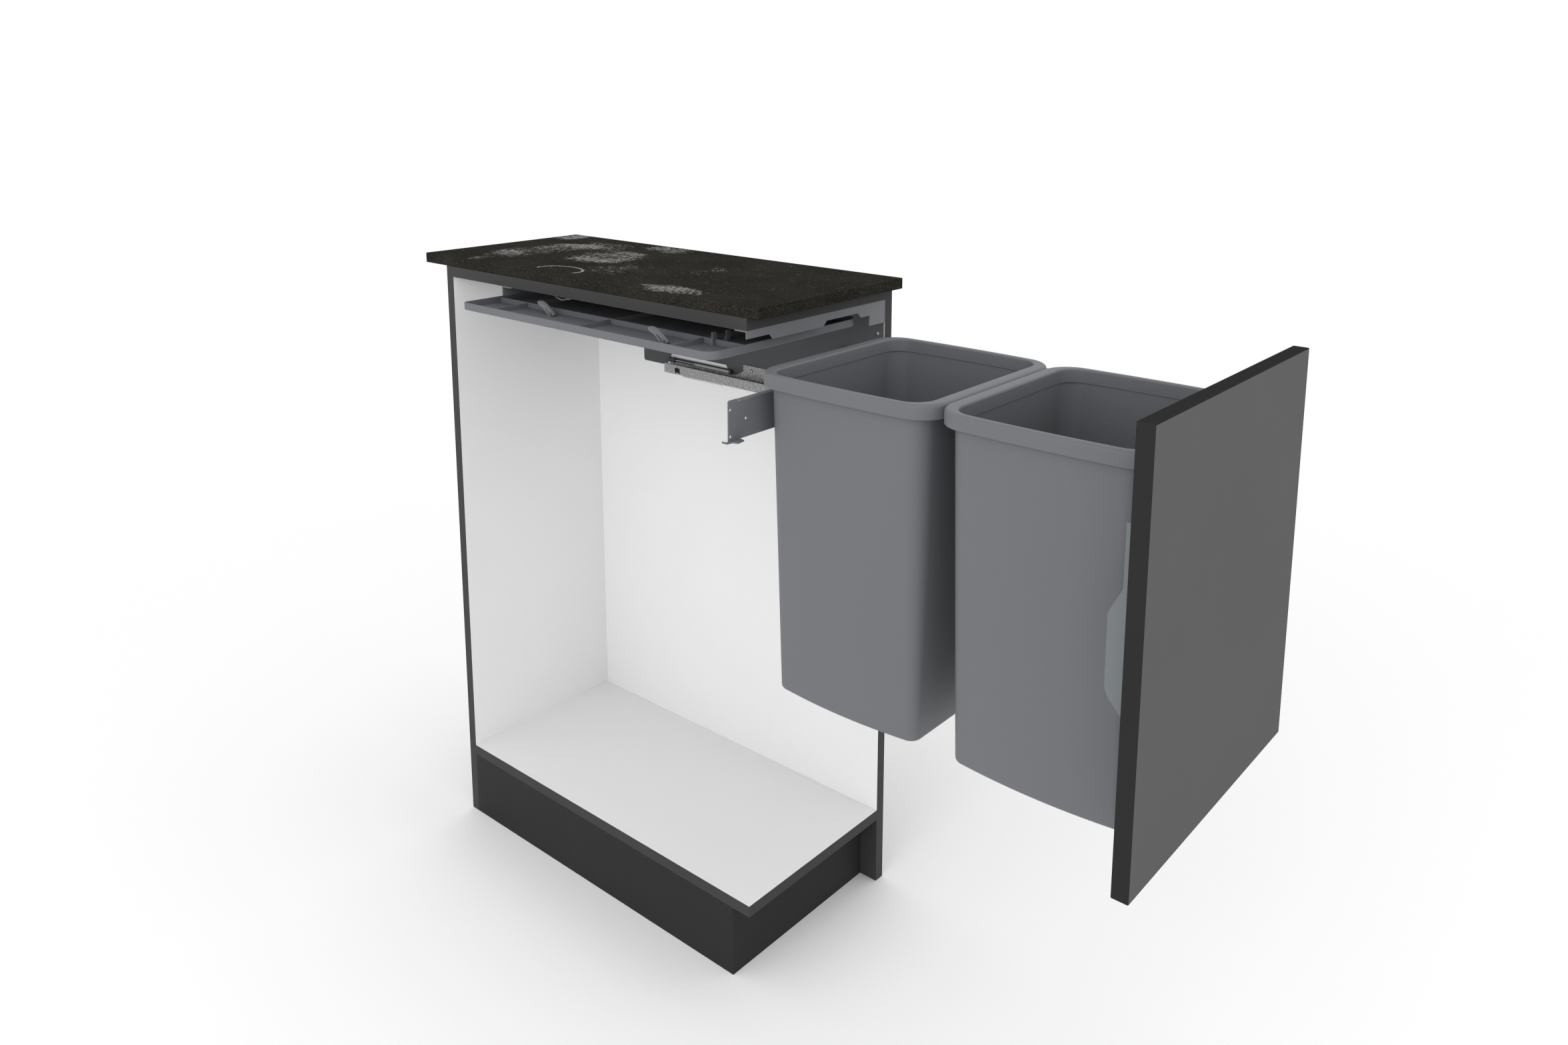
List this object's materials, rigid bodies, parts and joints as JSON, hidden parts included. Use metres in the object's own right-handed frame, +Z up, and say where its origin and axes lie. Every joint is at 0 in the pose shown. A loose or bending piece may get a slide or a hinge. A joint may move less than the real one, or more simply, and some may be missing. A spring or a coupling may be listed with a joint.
{
  "type": "pull-out waste bin cabinet",
  "caption": "Base cabinet with a telescopic pull-out that carries tall waste bins behind a door front, and a lid that stays under the top; its left side is cut open as on a display model.",
  "frame": {"origin": "middle of the footprint of the whole object with the pull-out fully out, on the floor", "axes": "+Z up, +Y from the door front to the back of the cabinet, +X to the uncut side"},
  "size_m": [0.398, 1.25, 0.929],
  "materials": {
    "worktop": "matte",
    "board": "satin",
    "door": "satin",
    "frame": "satin",
    "galvanised": "satin",
    "bin": "satin",
    "lid": "satin",
    "bracket": "satin",
    "screw": "satin",
    "damper": "satin"
  },
  "bodies": {
    "cabinet": {"worktop": "worktop", "top_panel": "board", "bottom_panel": "board", "right_side_panel": "board", "back_panel": "board", "plinth_front": "board", "plinth_side": "board", "frame_front_fascia": "frame", "frame_side_plate": "frame", "frame_rear_rail": "frame", "lid_hanger_front": "frame", "lid_hanger_rear": "frame", "lid_hanger_pins": "screw", "lid_lift_rivet": "screw", "runner_cabinet_profile": "galvanised", "damper_bracket": "galvanised", "damper_cylinder": "damper", "damper_rod": "screw"},
    "runner_middle": {"runner_middle_profile": "galvanised"},
    "lower_rollers_body": {"lower_roller_cage": "bracket", "lower_rollers": "screw"},
    "upper_rollers_body": {"upper_roller_cage": "bracket", "upper_rollers": "screw"},
    "pull_out": {"runner_drawer_profile": "galvanised", "right_rail": "frame", "rear_cross_plate": "frame", "front_cross_plate": "frame", "front_bracket_left": "bracket", "front_bracket_right": "bracket", "door_front": "door", "rear_bin": "bin", "front_bin": "bin"},
    "lever_right_front": {"lid_lever_right_front": "lid"},
    "lever_right_rear": {"lid_lever_right_rear": "lid"},
    "lid": {"lid_tray": "lid", "lid_lever_pins": "screw"},
    "lever_left_front": {"lid_lever_left_front": "lid"},
    "lever_left_rear": {"lid_lever_left_rear": "lid"},
    "lid_lift": {"lid_lift_lever": "galvanised", "lid_lift_buffer": "bracket"}
  },
  "joints": [
    {"name": "pull_out_slide", "type": "slide", "parent": "cabinet", "child": "pull_out", "axis": [0, 1, 0], "range_m": [0, 0.548]},
    {"name": "runner_middle_slide", "type": "slide", "parent": "cabinet", "child": "runner_middle", "axis": [0, 1, 0], "range_m": [0, 0.274]},
    {"name": "lower_rollers_slide", "type": "slide", "parent": "cabinet", "child": "lower_rollers_body", "axis": [0, 1, 0], "range_m": [0, 0.137]},
    {"name": "upper_rollers_slide", "type": "slide", "parent": "runner_middle", "child": "upper_rollers_body", "axis": [0, 1, 0], "range_m": [0, 0.137]},
    {"name": "lever_right_front_pivot", "type": "hinge", "parent": "cabinet", "child": "lever_right_front", "pos_m": [0.116, 0.092, 0.884], "axis": [1, 0, 0], "range_deg": [0, 4.59]},
    {"name": "lever_right_rear_pivot", "type": "hinge", "parent": "cabinet", "child": "lever_right_rear", "pos_m": [0.097, 0.342, 0.884], "axis": [1, 0, 0], "range_deg": [0, 4.59]},
    {"name": "lid_pivot", "type": "hinge", "parent": "lever_right_front", "child": "lid", "pos_m": [0.116, 0.067, 0.871], "axis": [1, 0, 0], "range_deg": [-4.59, 0]},
    {"name": "lever_left_front_pivot", "type": "hinge", "parent": "lid", "child": "lever_left_front", "pos_m": [-0.118, 0.067, 0.871], "axis": [1, 0, 0], "range_deg": [0, 4.59]},
    {"name": "lever_left_rear_pivot", "type": "hinge", "parent": "lid", "child": "lever_left_rear", "pos_m": [-0.099, 0.317, 0.871], "axis": [1, 0, 0], "range_deg": [0, 4.59]},
    {"name": "lid_lift_pivot", "type": "hinge", "parent": "cabinet", "child": "lid_lift", "pos_m": [0.181, 0.0275, 0.8095], "axis": [1, 0, 0], "range_deg": [0, 9.19]}
  ],
  "couplings": [
    {"joint": "runner_middle_slide", "follows": "pull_out_slide", "ratio": 0.5},
    {"joint": "lower_rollers_slide", "follows": "pull_out_slide", "ratio": 0.25},
    {"joint": "upper_rollers_slide", "follows": "pull_out_slide", "ratio": 0.25},
    {"joint": "lever_right_front_pivot", "follows": "pull_out_slide", "rad_per_m": 0.14599},
    {"joint": "lever_right_rear_pivot", "follows": "pull_out_slide", "rad_per_m": 0.14599},
    {"joint": "lid_pivot", "follows": "pull_out_slide", "rad_per_m": -0.14599},
    {"joint": "lever_left_front_pivot", "follows": "pull_out_slide", "rad_per_m": 0.14599},
    {"joint": "lever_left_rear_pivot", "follows": "pull_out_slide", "rad_per_m": 0.14599},
    {"joint": "lid_lift_pivot", "follows": "pull_out_slide", "rad_per_m": 0.29197}
  ]
}
